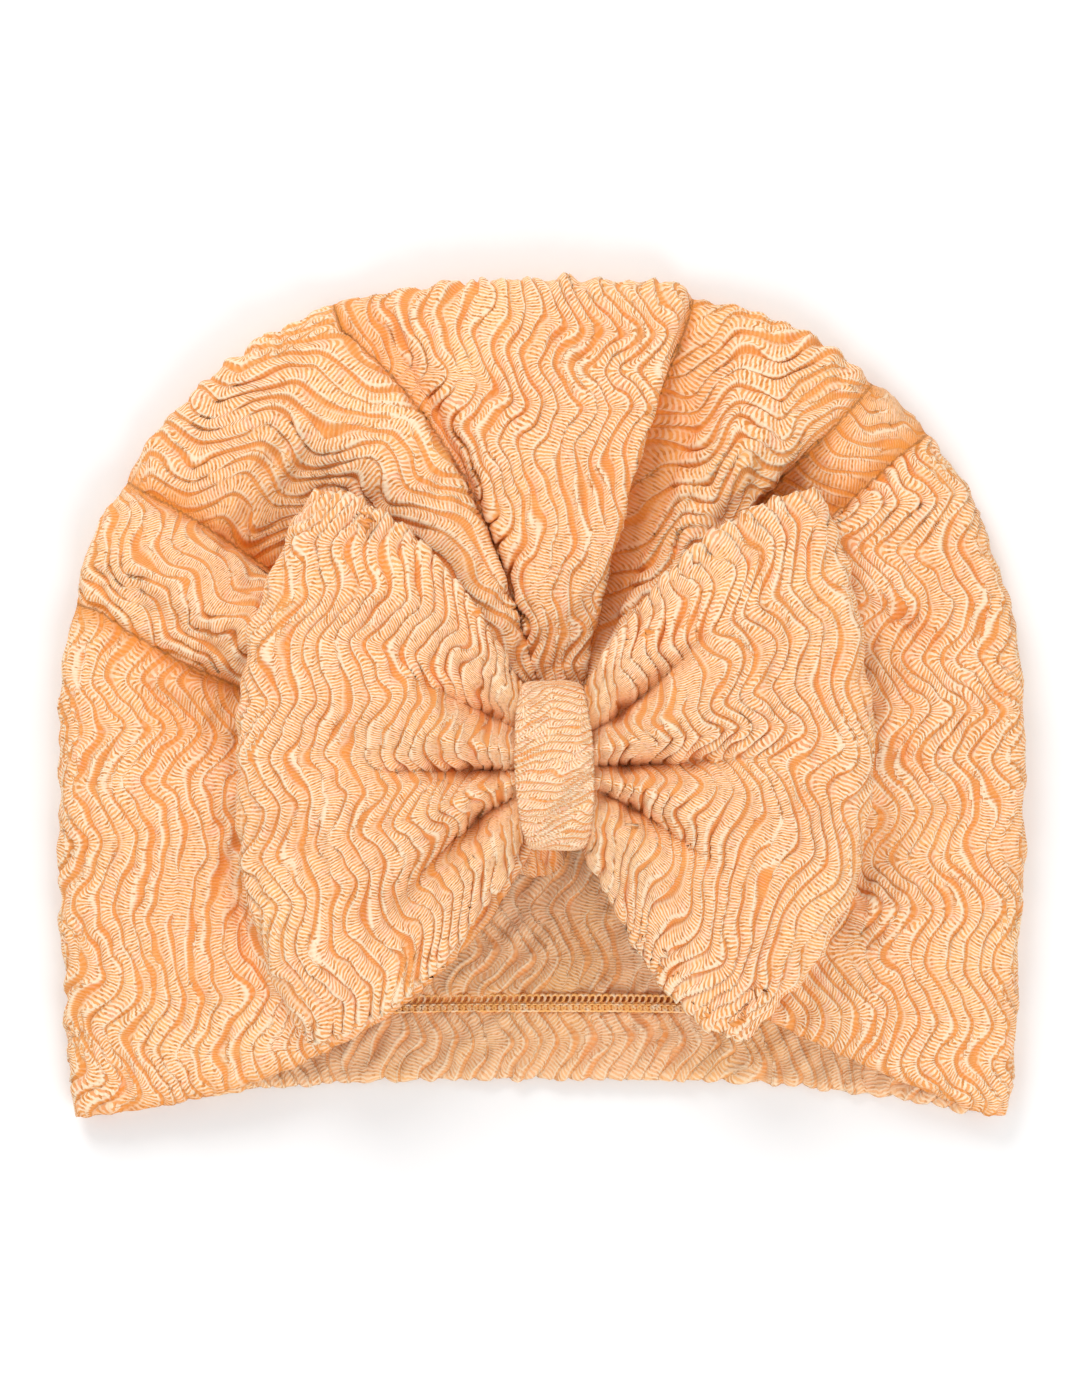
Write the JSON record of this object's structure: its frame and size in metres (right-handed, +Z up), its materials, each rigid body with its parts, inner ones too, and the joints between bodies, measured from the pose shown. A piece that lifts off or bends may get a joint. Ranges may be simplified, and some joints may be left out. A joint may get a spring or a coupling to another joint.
{
  "type": "baby turban cap",
  "caption": "Soft rib-knit turban cap for a baby, lying flat, with pleats gathered to a large bow and a wrapped centre band.",
  "frame": {"origin": "on the resting surface, under the middle of the cap as it lies flat", "axes": "+X across the cap, +Y from the mouth to the crown, +Z up through the bow"},
  "size_m": [0.186, 0.161, 0.0353],
  "materials": {
    "peach_knit": "soft melange rib knit, matt",
    "bow_knit": "soft melange rib knit, matt",
    "band_knit": "soft melange rib knit, matt"
  },
  "bodies": {
    "root": {"cap_shell": "peach_knit", "bow": "bow_knit", "knot_band": "band_knit"}
  },
  "joints": []
}
